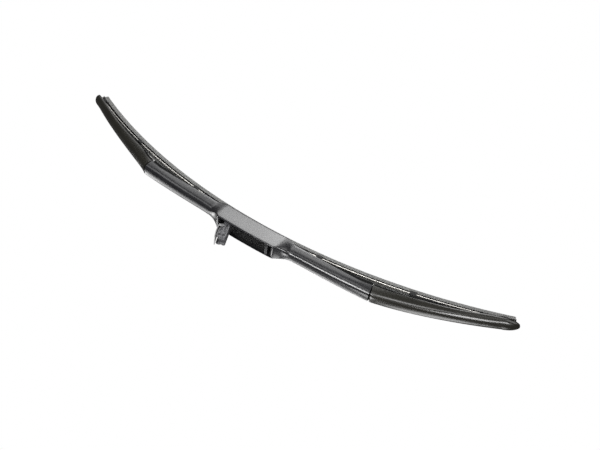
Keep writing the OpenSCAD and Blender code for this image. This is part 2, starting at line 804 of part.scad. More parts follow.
// Lid: a bowed roof on two ears, each with a bore round a stud of the body
lid_bow_r = 90;
lid_bow = 0.9;
lid_bow_shift = 2;
lid_clear = 0.3;
lid_behind = 1.5;
lid_past = 1.5;
ear_r = 2.2;
ear_len = 3.6;
module adaptor_lid() {
    from = lid_u - lid_behind;
    to = adaptor_len + lid_past;
    under = cheek_h + lid_clear + lid_bow;
    color([0.06, 0.06, 0.065])
        rotate([0, -swing, 0]) {
            across(adaptor_half)
                intersection() {
                    translate([(from + to) / 2 - lid_bow_shift, under - lid_bow_r])
                        difference() {
                            circle(r = lid_bow_r + lid_t, $fn = 360);
                            circle(r = lid_bow_r, $fn = 360);
                        }
                    translate([from, 0])
                        square([to - from, 2 * cheek_h]);
                }
            for (dir = [-1, 1])
                translate([0, dir * (adaptor_half - ear_t / 2), 0])
                    across(ear_t / 2)
                        difference() {
                            union() {
                                translate([lid_u, lid_v])
                                    circle(r = ear_r, $fn = hole_fn);
                                translate([from, lid_v])
                                    square([ear_len, under + lid_t / 4 - lid_v]);
                            }
                            translate([lid_u, lid_v])
                                circle(r = stud_r + pin_play, $fn = hole_fn);
                        }
        }
}

centre_cover();
end_cover(-1);  // left_end_cover
end_cover(1);  // right_end_cover
bridge();
section_lever(-1);  // left_lever
section_lever(1);  // right_lever
yoke(-outer_yoke_at, outer_reach);  // left_outer_yoke
yoke(-inner_yoke_at, inner_reach);  // left_inner_yoke
yoke(inner_yoke_at, inner_reach);  // right_inner_yoke
yoke(outer_yoke_at, outer_reach);  // right_outer_yoke
rubber_element();
steel_strip(1);  // front_steel_strip
steel_strip(-1);  // rear_steel_strip
arm_pin();
hinge_rivet(-1);  // left_hinge_rivet
hinge_rivet(1);  // right_hinge_rivet
yoke_rivet(-outer_yoke_at);  // left_outer_yoke_rivet
yoke_rivet(-inner_yoke_at);  // left_inner_yoke_rivet
yoke_rivet(inner_yoke_at);  // right_inner_yoke_rivet
yoke_rivet(outer_yoke_at);  // right_outer_yoke_rivet
hinge_washers(-1);  // left_hinge_washers
hinge_washers(1);  // right_hinge_washers
yoke_liner(-outer_yoke_at);  // left_outer_yoke_liner
yoke_liner(-inner_yoke_at);  // left_inner_yoke_liner
yoke_liner(inner_yoke_at);  // right_inner_yoke_liner
yoke_liner(outer_yoke_at);  // right_outer_yoke_liner
adaptor_body();
adaptor_lid();
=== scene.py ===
import math

import bmesh
import bpy
from mathutils import Matrix, Vector


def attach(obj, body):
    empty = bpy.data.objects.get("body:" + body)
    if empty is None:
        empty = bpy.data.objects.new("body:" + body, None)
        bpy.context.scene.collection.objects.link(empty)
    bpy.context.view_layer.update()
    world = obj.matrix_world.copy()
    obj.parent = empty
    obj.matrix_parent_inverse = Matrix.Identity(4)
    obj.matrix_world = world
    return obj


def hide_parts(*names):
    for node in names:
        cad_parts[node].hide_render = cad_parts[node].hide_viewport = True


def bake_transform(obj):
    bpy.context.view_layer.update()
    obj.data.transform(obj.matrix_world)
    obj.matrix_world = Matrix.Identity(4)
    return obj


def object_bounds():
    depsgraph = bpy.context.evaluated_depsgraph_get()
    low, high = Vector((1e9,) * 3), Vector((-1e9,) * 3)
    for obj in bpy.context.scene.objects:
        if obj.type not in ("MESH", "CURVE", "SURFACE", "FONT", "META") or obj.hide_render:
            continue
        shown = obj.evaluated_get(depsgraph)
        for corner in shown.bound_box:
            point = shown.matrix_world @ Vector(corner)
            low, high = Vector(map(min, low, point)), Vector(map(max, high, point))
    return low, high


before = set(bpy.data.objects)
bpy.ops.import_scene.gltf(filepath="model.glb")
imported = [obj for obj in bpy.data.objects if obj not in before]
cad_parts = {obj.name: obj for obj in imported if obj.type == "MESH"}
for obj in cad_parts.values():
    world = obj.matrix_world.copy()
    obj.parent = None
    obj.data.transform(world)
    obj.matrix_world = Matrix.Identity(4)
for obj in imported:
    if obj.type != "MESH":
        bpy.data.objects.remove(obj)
cad_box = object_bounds()
scene = bpy.context.scene

# Camera of the photograph, fitted to the outline of the blade
PHOTO_WIDTH = 600
FOCAL_PX = 850.0
SENSOR = 36.0
CAMERA_AT = Vector((0.4056, 0.6293, 0.5828))
CAMERA_RIGHT = Vector((0.81635, 0.12291, -0.56433))
CAMERA_DOWN = Vector((0.45195, -0.74432, 0.49166))
CAMERA_AHEAD = Vector((-0.35962, -0.65642, -0.66317))

camera = bpy.data.objects.new("camera", bpy.data.cameras.new("camera"))
scene.collection.objects.link(camera)
camera.data.sensor_width = SENSOR
camera.data.lens = FOCAL_PX / PHOTO_WIDTH * SENSOR
camera.data.clip_start = 0.01
camera.data.clip_end = 50.0
camera.matrix_world = Matrix.Translation(CAMERA_AT) @ Matrix(
    (CAMERA_RIGHT, -CAMERA_DOWN, -CAMERA_AHEAD)).transposed().to_4x4()
scene.camera = camera
scene.view_settings.view_transform = "Standard"

# Main sizes of the blade in mm: s runs along the lip, y across, h up from the lip
MM = 0.001
CURVE_R = 690.0
HALF_LEN = 300.0
SEAM_AT = 150.0
SEAM_GAP = 0.8
PIN_OFFSET = 22.0
PIN_H = 25.0
HINGE_H = 22.0
FOLD_MAX = math.radians(6.0)
WALL = 1.2
RECESS_LEFT = 31.0
RECESS_RIGHT = 38.0
RECESS_HALF = 7.9
BRIDGE_MID_H = 29.4
RIM_H = 31.5


def on_curve(s, h):
    """x and z of a place on the curved blade, from the middle of the lip, in mm."""
    a = s / CURVE_R
    return (CURVE_R + h) * math.sin(a), (CURVE_R + h) * math.cos(a) - CURVE_R


ORIGIN = on_curve(-PIN_OFFSET, PIN_H)


def at(s, y, h):
    """A place on the blade in metres, in the frame of the CAD, whose origin is the arm pin."""
    x, z = on_curve(s, h)
    return Vector(((x - ORIGIN[0]) * MM, y * MM, (z - ORIGIN[1]) * MM))


def mix(a, b, t):
    return a + (b - a) * t


def clamp01(t):
    return min(1.0, max(0.0, t))


def ease(t):
    """Smooth step from 0 to 1."""
    t = clamp01(t)
    return t * t * (3 - 2 * t)


def through(knots, s):
    """Cubic curve through knots of (position, value), with level ends."""
    if s <= knots[0][0]:
        return knots[0][1]
    if s >= knots[-1][0]:
        return knots[-1][1]
    i = max(k for k in range(len(knots) - 1) if s > knots[k][0])

    def slope(k):
        if k in (0, len(knots) - 1):
            return 0.0
        return (knots[k + 1][1] - knots[k - 1][1]) / (knots[k + 1][0] - knots[k - 1][0])

    w = knots[i + 1][0] - knots[i][0]
    t = (s - knots[i][0]) / w
    return ((2 * t ** 3 - 3 * t * t + 1) * knots[i][1] + (t ** 3 - 2 * t * t + t) * w * slope(i)
            + (3 * t * t - 2 * t ** 3) * knots[i + 1][1] + (t ** 3 - t * t) * w * slope(i + 1))


# Materials
WHITE = (1.0, 1.0, 1.0, 1.0)


def linear(colour):
    """A hex sRGB colour as linear RGBA."""
    out = []
    for k in (0, 2, 4):
        c = int(colour[k:k + 2], 16) / 255
        out.append(c / 12.92 if c <= 0.04045 else ((c + 0.055) / 1.055) ** 2.4)
    return (*out, 1.0)


def per_metre(size_mm):
    """Scale of a pattern whose marks are size_mm apart."""
    return 1000.0 / size_mm


def add(tree, kind, inputs=None, **settings):
    """A shader node with its settings, and values or links for its inputs."""
    node = tree.nodes.new(kind)
    for key, value in settings.items():
        setattr(node, key, value)
    for key, value in (inputs or {}).items():
        if isinstance(value, bpy.types.NodeSocket):
            tree.links.new(value, node.inputs[key])
        else:
            node.inputs[key].default_value = value
    return node


def new_material(name):
    """An empty material with one surface shader."""
    material = bpy.data.materials.new(name)
    material.use_nodes = True
    tree = material.node_tree
    tree.nodes.clear()
    shader = add(tree, "ShaderNodeBsdfPrincipled")
    out = add(tree, "ShaderNodeOutputMaterial", {"Surface": shader.outputs[0]})
    return material, tree, shader, out


def vary(tree, shader, tint, dark, light, reach, sheen, smooth, rough):
    """Colour goes from dark to light as tint passes reach, roughness from smooth to rough with sheen."""
    share = add(tree, "ShaderNodeMapRange", {"Value": tint, "From Min": reach[0], "From Max": reach[1]})
    colour = add(tree, "ShaderNodeMix", {0: share.outputs["Result"], 6: linear(dark), 7: linear(light)},
                 data_type="RGBA")
    tree.links.new(colour.outputs[2], shader.inputs["Base Color"])
    roughness = add(tree, "ShaderNodeMapRange", {"Value": sheen, "To Min": smooth, "To Max": rough})
    tree.links.new(roughness.outputs["Result"], shader.inputs["Roughness"])


# Sizes of the patterns, in mm. The grain of a real tool is under 0.1 mm, too fine to show, so each
# plastic below gets a coarser one
FLOW_CLOUD = 26.0
SINK_WAVE = 16.5


def moulded_plastic(name, dark, light, rough, grain, grain_strength, shine=0.5):
    """Injection-moulded plastic: fine spark-eroded grain, faint flow clouds, an uneven satin."""
    material, tree, shader, _ = new_material(name)
    place = add(tree, "ShaderNodeTexCoord").outputs["Object"]
    clouds = add(tree, "ShaderNodeTexNoise", {
        "Vector": place, "Scale": per_metre(FLOW_CLOUD), "Detail": 3.0}).outputs["Fac"]
    vary(tree, shader, clouds, dark, light, (0.3, 0.7), clouds, rough - 0.04, rough + 0.04)
    shader.inputs["Specular IOR Level"].default_value = shine
    waves = add(tree, "ShaderNodeTexNoise", {
        "Vector": place, "Scale": per_metre(SINK_WAVE), "Detail": 1.0}).outputs["Fac"]
    sunk = add(tree, "ShaderNodeBump", {"Height": waves, "Distance": 0.001, "Strength": 0.012})
    fine = add(tree, "ShaderNodeTexNoise", {
        "Vector": place, "Scale": per_metre(grain), "Detail": 1.0, "Roughness": 0.6}).outputs["Fac"]
    grained = add(tree, "ShaderNodeBump", {
        "Height": fine, "Distance": 0.0001, "Strength": grain_strength, "Normal": sunk.outputs["Normal"]})
    tree.links.new(grained.outputs["Normal"], shader.inputs["Normal"])
    return material


ORANGE_PEEL = 0.7
COAT_PATCH = 16.5


def powder_coat(name, dark, light):
    """Powder coat baked on pressed steel: matt black with a low orange peel."""
    material, tree, shader, _ = new_material(name)
    place = add(tree, "ShaderNodeTexCoord").outputs["Object"]
    peel = add(tree, "ShaderNodeTexNoise", {
        "Vector": place, "Scale": per_metre(ORANGE_PEEL)}).outputs["Fac"]
    patches = add(tree, "ShaderNodeTexNoise", {
        "Vector": place, "Scale": per_metre(COAT_PATCH)}).outputs["Fac"]
    vary(tree, shader, patches, dark, light, (0.3, 0.7), peel, 0.5, 0.62)
    shader.inputs["Specular IOR Level"].default_value = 0.22
    dimpled = add(tree, "ShaderNodeBump", {"Height": peel, "Distance": 0.00006, "Strength": 0.3})
    tree.links.new(dimpled.outputs["Normal"], shader.inputs["Normal"])
    return material


# Marks of the strip mill: length and spacing. The real spacing is too fine to show, so it is coarser
ROLL_STREAK = (110.0, 0.385)
STAIN = 18.0


def rolled_steel(name, dark, light, rough):
    """Stainless spring strip, cold rolled and slit: fine streaks along it, read from its UV map in metres."""
    material, tree, shader, _ = new_material(name)
    place = add(tree, "ShaderNodeTexCoord")
    along = add(tree, "ShaderNodeMapping", {
        "Vector": place.outputs["UV"],
        "Scale": (per_metre(ROLL_STREAK[0]), per_metre(ROLL_STREAK[1]), 1.0)}).outputs["Vector"]
    streaks = add(tree, "ShaderNodeTexNoise", {
        "Vector": along, "Scale": 1.0, "Detail": 3.0, "Roughness": 0.6}).outputs["Fac"]
    stains = add(tree, "ShaderNodeTexNoise", {
        "Vector": place.outputs["Object"], "Scale": per_metre(STAIN), "Detail": 3.0}).outputs["Fac"]
    vary(tree, shader, streaks, dark, light, (0.25, 0.75), stains, rough - 0.07, rough + 0.09)
    shader.inputs["Metallic"].default_value = 1.0
    return material


SPANGLE = 2.4
TURNING_MARK = 0.31


def plated_steel(name, dark, light, rough):
    """Turned steel, zinc plated: a cloudy spangle over fine turning marks."""
    material, tree, shader, _ = new_material(name)
    place = add(tree, "ShaderNodeTexCoord").outputs["Object"]
    spangle = add(tree, "ShaderNodeTexNoise", {
        "Vector": place, "Scale": per_metre(SPANGLE), "Detail": 3.0, "Roughness": 0.6}).outputs["Fac"]
    vary(tree, shader, spangle, dark, light, (0.3, 0.7), spangle, rough - 0.08, rough + 0.1)
    shader.inputs["Metallic"].default_value = 1.0
    marks = add(tree, "ShaderNodeTexNoise", {
        "Vector": place, "Scale": per_metre(TURNING_MARK), "Detail": 1.0}).outputs["Fac"]
    turned = add(tree, "ShaderNodeBump", {"Height": marks, "Distance": 0.00002, "Strength": 0.4})
    tree.links.new(turned.outputs["Normal"], shader.inputs["Normal"])
    return material


# Lines that the die leaves along the rubber: length and spacing
DIE_LINE = (100.0, 0.28)
DUST_SPOT = 1.1


def wiper_rubber(name, dark, light, rough, shine):
    """Extruded natural rubber, matt, with faint lines along it and graphite dust where it is light."""
    material, tree, shader, _ = new_material(name)
    place = add(tree, "ShaderNodeTexCoord")
    along = add(tree, "ShaderNodeMapping", {
        "Vector": place.outputs["UV"],
        "Scale": (per_metre(DIE_LINE[0]), per_metre(DIE_LINE[1]), 1.0)}).outputs["Vector"]
    lines = add(tree, "ShaderNodeTexNoise", {"Vector": along, "Scale": 1.0, "Roughness": 0.6}).outputs["Fac"]
    dust = add(tree, "ShaderNodeTexNoise", {
        "Vector": place.outputs["Object"], "Scale": per_metre(DUST_SPOT),
        "Detail": 3.0, "Roughness": 0.65}).outputs["Fac"]
    vary(tree, shader, dust, dark, light, (0.35, 0.75), dust, rough - 0.08, rough + 0.08)
    shader.inputs["Specular IOR Level"].default_value = shine
    lined = add(tree, "ShaderNodeBump", {"Height": lines, "Distance": 0.00002, "Strength": 0.2})
    dusted = add(tree, "ShaderNodeBump", {
        "Height": dust, "Distance": 0.00002, "Strength": 0.15, "Normal": lined.outputs["Normal"]})
    tree.links.new(dusted.outputs["Normal"], shader.inputs["Normal"])
    return material


MATERIALS = {
    # Polypropylene moulded in a finely eroded tool: near black, with a soft but strong gloss
    "cover": moulded_plastic("satin_black_polypropylene", "121214", "18181a", 0.25, 0.385, 0.002),
    # The same from another batch, a touch browner
    "tip_cover": moulded_plastic("satin_black_polypropylene_warm", "141310", "1a1915", 0.25, 0.385, 0.002),
    # Dead black with hardly any gloss: painted shade for the dark gap of the seams and the shaded gap under
    # the skirts
    "shade_sheet": moulded_plastic("matt_black_painted_shade", "040404", "070707", 0.7, 0.67, 0.01, 0.1),
    # Black powder coat on pressed steel: matt, slightly pebbled
    "steel_lever": powder_coat("black_powder_coat", "0a0a0b", "101011"),
    "yoke": powder_coat("black_powder_coat_yokes", "0d0d0d", "141414"),
    # Rubber rubbed with graphite: a dusty mid grey, made lighter still as painted sheen for the light on its
    # sides
    "rubber": wiper_rubber("graphite_dust_and_painted_sheen_rubber", "555554", "646462", 0.62, 0.5),
    # Black rubber for the faces of the claw groove: painted shade in the groove
    "groove_painted_shade": wiper_rubber("rubber_with_painted_groove_shade", "050505", "080808", 0.8, 0.1),
    # Cold-rolled stainless strip: light grey with a silky shine
    "strip": rolled_steel("rolled_stainless_strip", "9c9a96", "aeaca8", 0.42),
    # Zinc-plated rivets: bright, slightly clouded
    "pin": plated_steel("zinc_plated_steel", "9a9a98", "c9c9c6", 0.34),
    # Moulded nylon bushes: dark grey, semi matt
    "liner": moulded_plastic("black_nylon", "1c1c1e", "262628", 0.45, 0.56, 0.03),
    # Acetal adaptor as moulded: mid grey, soft sheen
    "adaptor": moulded_plastic("grey_acetal", "39393b", "434345", 0.5, 0.45, 0.01, 0.35),
    # Acetal lid from a polished tool: glossy black
    "lid": moulded_plastic("gloss_black_acetal", "0e0e0f", "151516", 0.24, 0.45, 0.02),
}

# Mesh helpers
SHARP_ANGLE = math.radians(40)


def place_mesh(name, mesh):
    """Object with this mesh, in the scene."""
    obj = bpy.data.objects.new(name, mesh)
    scene.collection.objects.link(obj)
    return obj


def finish_mesh(name, bm, body, material):
    """Smooth-shaded piece from bm, riding on body if one is given."""
    mesh = bpy.data.meshes.new(name)
    bm.to_mesh(mesh)
    bm.free()
    for p in mesh.polygons:
        p.use_smooth = True
    mesh.set_sharp_from_angle(angle=SHARP_ANGLE)
    obj = place_mesh(name, mesh)
    obj.data.materials.append(MATERIALS[material])
    if body:
        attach(obj, body)
    return obj


def running_sum(steps):
    """0 and the sums of the steps so far."""
    sums = [0.0]
    for step in steps:
        sums.append(sums[-1] + step)
    return sums


def loft(name, rings, body, material, lengths=None):
    """Skin over closed rings of points, with flat caps. UV: metres along the piece and round the ring."""
    bm = bmesh.new()
    uv = bm.loops.layers.uv.new("UVMap")
    rows = [[bm.verts.new(p) for p in ring] for ring in rings]
    n = len(rings[0])
    middle = rings[len(rings) // 2]
    around = running_sum((middle[(j + 1) % n] - middle[j]).length for j in range(n))
    if lengths is None:
        lengths = running_sum((b[0] - a[0]).length for a, b in zip(rings, rings[1:]))
    for i in range(len(rows) - 1):
        for j in range(n):
            k = (j + 1) % n
            face = bm.faces.new((rows[i][j], rows[i][k], rows[i + 1][k], rows[i + 1][j]))
            corners = ((i, j), (i, j + 1), (i + 1, j + 1), (i + 1, j))
            for loop, (row, column) in zip(face.loops, corners):
                loop[uv].uv = (lengths[row], around[column])
    bm.faces.new(list(reversed(rows[0])))
    bm.faces.new(rows[-1])
    bmesh.ops.recalc_face_normals(bm, faces=bm.faces)
    return finish_mesh(name, bm, body, material)


def bevel(obj, width, segments, angle):
    """Rounded edges, width in mm, wherever faces meet at more than angle in degrees."""
    m = obj.modifiers.new("bevel", "BEVEL")
    m.width = width * MM
    m.segments = segments
    m.limit_method = "ANGLE"
    m.angle_limit = math.radians(angle)
    m.harden_normals = True


def cutter_between(low_ring, high_ring):
    """Closed prism between two like outlines, for cut_away."""
    bm = bmesh.new()
    low = [bm.verts.new(p) for p in low_ring]
    high = [bm.verts.new(p) for p in high_ring]
    for j in range(len(low)):
        k = (j + 1) % len(low)
        bm.faces.new((low[j], low[k], high[k], high[j]))
    bm.faces.new(list(reversed(low)))
    bm.faces.new(high)
    bmesh.ops.recalc_face_normals(bm, faces=bm.faces)
    mesh = bpy.data.meshes.new("cutter")
    bm.to_mesh(mesh)
    bm.free()
    return place_mesh("cutter", mesh)


def cut_away(obj, cutters):
    """Takes the cutters out of a piece's mesh and removes them."""
    for cutter in cutters:
        m = obj.modifiers.new("cut", "BOOLEAN")
        m.operation = "DIFFERENCE"
        m.solver = "EXACT"
        m.object = cutter
    mesh = bpy.data.meshes.new_from_object(obj.evaluated_get(bpy.context.evaluated_depsgraph_get()))
    obj.modifiers.clear()
    obj.data = mesh
    for cutter in cutters:
        bpy.data.objects.remove(cutter)


# Cross sections of the covers
WALL_STEPS = 12
ROOF_STEPS = 12
ROUND_STEPS = 5
REAR_BELLY_AT = 0.6
ROOF_BULGE = 1.0
SKIRT_ROUND = 0.3
# A rounded edge takes this much of the curves beside it for each mm of softness, and a share at most
ROUND_REACH = 1.6
ROUND_SHARE = 0.3

# The covers' outside at the waist, a seam, the hump and a tip, in mm. The rear is at negative y
WAIST = {"skirt_y": 7.3, "rear_y": -8.6, "crest_y": -8.0, "crest_h": 22.9, "ridge_y": 4.0, "ridge_h": 24.4,
         "front_y": 7.7, "front_belly_at": 0.42, "crest_soft": 1.3, "ridge_soft": 1.9}
SEAM = {"skirt_y": 7.7, "rear_y": -8.6, "crest_y": -9.0, "crest_h": 31.4, "ridge_y": 4.0, "ridge_h": 32.2,
        "front_y": 6.9, "front_belly_at": 0.42, "crest_soft": 1.3, "ridge_soft": 1.9}
HUMP = {"skirt_y": 9.4, "rear_y": -9.5, "crest_y": -9.1, "crest_h": RIM_H, "ridge_y": 9.1, "ridge_h": RIM_H,
        "front_y": 9.5, "front_belly_at": 0.42, "crest_soft": 1.3, "ridge_soft": 0.8}
TIP = {"skirt_y": 7.4, "rear_y": -7.6, "crest_y": -6.1, "crest_h": 16.8, "ridge_y": 3.0, "ridge_h": 18.2,
       "front_y": 8.4, "front_belly_at": 0.7, "crest_soft": 0.9, "ridge_soft": 1.3}
ACROSS = ("skirt_y", "rear_y", "crest_y", "ridge_y", "front_y")


def mixed(a, b, t):
    """Profile between two others."""
    return {key: mix(a[key], b[key], t) for key in a}


def arc(a, b, c, t):
    """Place on the curve from a to c that is drawn towards b."""
    return tuple((1 - t) ** 2 * p + 2 * t * (1 - t) * q + t * t * r for p, q, r in zip(a, b, c))


def round_share(curve, soft):
    """Share of a curve that a rounded edge of this softness takes."""
    a, b, c = curve
    return min(ROUND_SHARE, ROUND_REACH * soft / (math.dist(a, b) + math.dist(b, c)))


def section(profile, skirt_h, inset):
    """Points from the rear skirt over crest, roof and ridge to the front skirt, inset from the outside."""
    rear = (-profile["skirt_y"] + inset, skirt_h)
    front = (profile["skirt_y"] - inset, skirt_h)
    crest = (profile["crest_y"] + inset, profile["crest_h"] - inset)
    ridge = (profile["ridge_y"] - inset, profile["ridge_h"] - inset)
    rear_belly = (profile["rear_y"] + inset, mix(skirt_h, crest[1], REAR_BELLY_AT))
    roof_middle = ((crest[0] + ridge[0]) / 2, max(crest[1], ridge[1]) + ROOF_BULGE)
    front_belly = (profile["front_y"] - inset, mix(skirt_h, ridge[1], profile["front_belly_at"]))
    rear_wall = (rear, rear_belly, crest)
    roof = (crest, roof_middle, ridge)
    front_wall = (ridge, front_belly, front)
    crest_soft, ridge_soft = profile["crest_soft"], profile["ridge_soft"]
    spans = [
        (rear_wall, WALL_STEPS, 0.0, 1.0 - round_share(rear_wall, crest_soft)),
        (roof, ROOF_STEPS, round_share(roof, crest_soft), 1.0 - round_share(roof, ridge_soft)),
        (front_wall, WALL_STEPS, round_share(front_wall, ridge_soft), 1.0),
    ]
    points = []
    for k, (curve, steps, t0, t1) in enumerate(spans):
        points += [arc(*curve, mix(t0, t1, i / steps)) for i in range(steps + 1)]
        if k + 1 < len(spans):
            next_curve, _, next_t0, _ = spans[k + 1]
            start, stop = points[-1], arc(*next_curve, next_t0)
            points += [arc(start, curve[2], stop, i / ROUND_STEPS) for i in range(1, ROUND_STEPS)]
    return points


def rounded_edge(y, h, towards):
    """Three points round the lower edge of a wall's face, towards the wall's middle."""
    small = SKIRT_ROUND * 0.3
    return [(y, h + SKIRT_ROUND), (y + towards * small, h + small), (y + towards * SKIRT_ROUND, h)]


def ring_of(outer, inner):
    """Closed ring of a wall, the edges of its two feet slightly rounded."""
    h = outer[0][1]
    rear_out = rounded_edge(outer[0][0], h, 1)
    rear_in = rounded_edge(inner[0][0], h, -1)
    front_out = rounded_edge(outer[-1][0], h, -1)
    front_in = rounded_edge(inner[-1][0], h, 1)
    return (rear_out[::-1] + outer[1:-1] + front_out + front_in[::-1] + inner[1:-1][::-1] + rear_in)


# Centre cover: a hump round the recess, a waist on each side, and a rise to the seams
HUMP_MID = (RECESS_RIGHT - RECESS_LEFT) / 2
RECESS_REACH = (RECESS_RIGHT + RECESS_LEFT) / 2
HUMP_REACH = RECESS_REACH + 4
HUMP_RUN = 15.0
CROWN_REACH = RECESS_REACH + WALL + 0.3
CROWN_RUN = 20.0
WAIST_AT = 60.0
RISE_POWER = 1.25
SKIRT_HUMP = 9.3
SKIRT_WAIST = 12.2
SKIRT_SEAM = 21.6
SKIRT_LEVEL_FROM = 135.0
# The skirts drop to the hump a little before the sides swell
SKIRT_LEAD = 4.0


def hump(s, lead=0.0):
    """1 on the hump to 0 on the arms, starting lead mm further out."""
    return 1 - ease((abs(s - HUMP_MID) - HUMP_REACH - lead) / HUMP_RUN)


def crown(s):
    """1 where the roof is level with the recess's rim, to 0 on the arms."""
    return clamp01(1 - (abs(s - HUMP_MID) - CROWN_REACH) / CROWN_RUN) ** 2


def rise(s, full_at):
    """From 0 at the waist to 1 at full_at and beyond."""
    return clamp01((abs(s) - WAIST_AT) / (full_at - WAIST_AT)) ** RISE_POWER


def centre_section(s, inset=0.0):
    """Section of the centre cover at s."""
    arm = mixed(WAIST, SEAM, rise(s, SEAM_AT))
    profile = mixed(arm, HUMP, hump(s))
    for key in ("crest_h", "ridge_h"):
        profile[key] = mix(arm[key], RIM_H, crown(s))
    skirt_h = (SKIRT_WAIST + hump(s, SKIRT_LEAD) * (SKIRT_HUMP - SKIRT_WAIST)
               + rise(s, SKIRT_LEVEL_FROM) * (SKIRT_SEAM - SKIRT_WAIST))
    return section(profile, skirt_h, inset)


COVER_STEPS = 200
RECESS_CORNER = 0.9
CORNER_STEPS = 4
RECESS_CUT_H = (BRIDGE_MID_H - 6, 45.0)


def recess_outline():
    """Plan of the arm recess as (s, y), with small round corners."""
    outline = []
    for end, side, first in ((1, 1, 0), (-1, 1, 90), (-1, -1, 180), (1, -1, 270)):
        s = (RECESS_RIGHT if end > 0 else -RECESS_LEFT) - end * RECESS_CORNER
        y = side * (RECESS_HALF - RECESS_CORNER)
        for i in range(CORNER_STEPS + 1):
            a = math.radians(first + 90 * i / CORNER_STEPS)
            outline.append((s + RECESS_CORNER * math.cos(a), y + RECESS_CORNER * math.sin(a)))
    return outline


def build_centre_cover():
    end = SEAM_AT - SEAM_GAP / 2
    rings = []
    for i in range(COVER_STEPS + 1):
        s = mix(-end, end, i / COVER_STEPS)
        rings.append([at(s, y, h) for y, h in ring_of(centre_section(s), centre_section(s, WALL))])
    cover = loft("centre_cover_shell", rings, "centre", "cover")
    cut_away(cover, [cutter_between(*([at(s, y, h) for s, y in recess_outline()] for h in RECESS_CUT_H))])
    cover.data.set_sharp_from_angle(angle=SHARP_ANGLE)
    bevel(cover, 0.3, 3, 50)
    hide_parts("centre_cover")


# End covers: each runs down to a rounded tip past the rubber
TIP_AT = HALF_LEN - 14.0
TIP_SKIRT_H = 12.0
TIP_DROP = 0.8
BULGE_LEAN = 0.6
# For each side: how far the tip stands past the rubber, the run of its rounding, the bulge of the roof,
# where the hollow stops, where the dark strips of painted shade under the skirts stop, and the skirt's share
# of its drop along the cover
ENDS = {
    1: {"past": 4.0, "rounding": 18.0, "bulge": 1.4, "hollow_to": 300.0, "shade_strips_to": 222.0,
        "skirt": [(0, 0), (0.13, -0.02), (0.38, 0.24), (0.65, 0.48), (0.88, 0.95), (1, 1)]},
    -1: {"past": 0.4, "rounding": 4.0, "bulge": -2.5, "hollow_to": 297.5, "shade_strips_to": 190.0,
         "skirt": [(0, 0), (0.07, 0.04), (0.2, 0.46), (0.45, 0.6), (0.65, 0.7), (0.88, 0.97), (1, 1)]},
}


def end_section(s, end, inset=0.0):
    """Section of an end cover at s; its width and its height over the skirts close at the tip."""
    u = clamp01((s - SEAM_AT) / (TIP_AT - SEAM_AT))
    into_tip = clamp01((s - HALF_LEN - end["past"] + end["rounding"]) / end["rounding"])
    k = math.sqrt(max(0.0001, 1 - into_tip ** 2))
    skirt_h = mix(SKIRT_SEAM, TIP_SKIRT_H, through(end["skirt"], u))
    lift = end["bulge"] * math.sin(math.pi * u ** BULGE_LEAN)
    drop = mix(1, k, TIP_DROP)
    profile = mixed(SEAM, TIP, u)
    for key in ACROSS:
        profile[key] *= k
    for key in ("crest_h", "ridge_h"):
        profile[key] = skirt_h + (profile[key] + lift - skirt_h) * drop
    return section(profile, skirt_h, inset)


LEAN_RUN = 14.0


def lean(s, h):
    """How far an end cover draws back from the seam at h, so that it clears the centre at full fold."""
    return (1 - ease((s - SEAM_AT) / LEAN_RUN)) * (SEAM_GAP / 2 + max(0.0, h - HINGE_H) * math.sin(FOLD_MAX))


END_STEPS = 90
TIP_STEPS = 16


def build_end_cover(side, word):
    """Hollow shell up to the end of its hollow, and a solid tip beyond."""
    end = ENDS[side]
    stations = [mix(SEAM_AT, TIP_AT, i / END_STEPS) for i in range(END_STEPS)]
    stations += [mix(TIP_AT, HALF_LEN + end["past"], math.sin(math.pi / 2 * i / TIP_STEPS))
                 for i in range(TIP_STEPS + 1)]
    last = max(i for i, s in enumerate(stations) if s <= end["hollow_to"])
    bm = bmesh.new()
    uv = bm.loops.layers.uv.new("UVMap")
    outer = [[bm.verts.new(at(side * (s + lean(s, h)), y, h)) for y, h in end_section(s, end)]
             for s in stations]
    inner = [[bm.verts.new(at(side * (s + lean(s, h)), y, h)) for y, h in end_section(s, end, WALL)]
             for s in stations[:last + 1]]
    m = len(outer[0])

    def quad(*corners):
        for loop in bm.faces.new(corners).loops:
            loop[uv].uv = (loop.vert.co.x, loop.vert.co.y)

    for i in range(len(outer) - 1):
        for j in range(m - 1):
            quad(outer[i][j], outer[i][j + 1], outer[i + 1][j + 1], outer[i + 1][j])
    for i in range(last):
        for j in range(m - 1):
            quad(inner[i][j], inner[i + 1][j], inner[i + 1][j + 1], inner[i][j + 1])
        # Feet of the two skirts
        for j in (0, m - 1):
            quad(outer[i][j], outer[i + 1][j], inner[i + 1][j], inner[i][j])
    # Face at the seam
    for j in range(m - 1):
        quad(outer[0][j], outer[0][j + 1], inner[0][j + 1], inner[0][j])
    # End of the hollow, the step beside it, the underside of the tip, and its last face
    bm.faces.new(inner[last])
    bm.faces.new([outer[last + 1][0], outer[last][0], inner[last][0],
                  inner[last][-1], outer[last][-1], outer[last + 1][-1]])
    for i in range(last + 1, len(outer) - 1):
        bm.faces.new((outer[i][0], outer[i][-1], outer[i + 1][-1], outer[i + 1][0]))
    bm.faces.new(outer[-1])
    bmesh.ops.recalc_face_normals(bm, faces=bm.faces)
    cover = finish_mesh(word + "_end_cover_shell", bm, word + "_section", "tip_cover")
    bevel(cover, 0.3, 2, 55)
    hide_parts(word + "_end_cover")


# Seam shade sheet, a dark sheet of painted shade in the seam: how deep below the covers' outside it runs, by
# its place along the blade
SHADE_SHEET_DEPTH = [(SEAM_AT - 4, 1.5), (SEAM_AT - 0.8, 1.3), (SEAM_AT - 0.3, 0.7), (SEAM_AT + 0.2, 0.7),
                (SEAM_AT + 1.2, 1.75), (SEAM_AT + 3.2, 1.75)]
SHADE_SHEET_T = 0.75
SHADE_SHEET_STEPS = 24


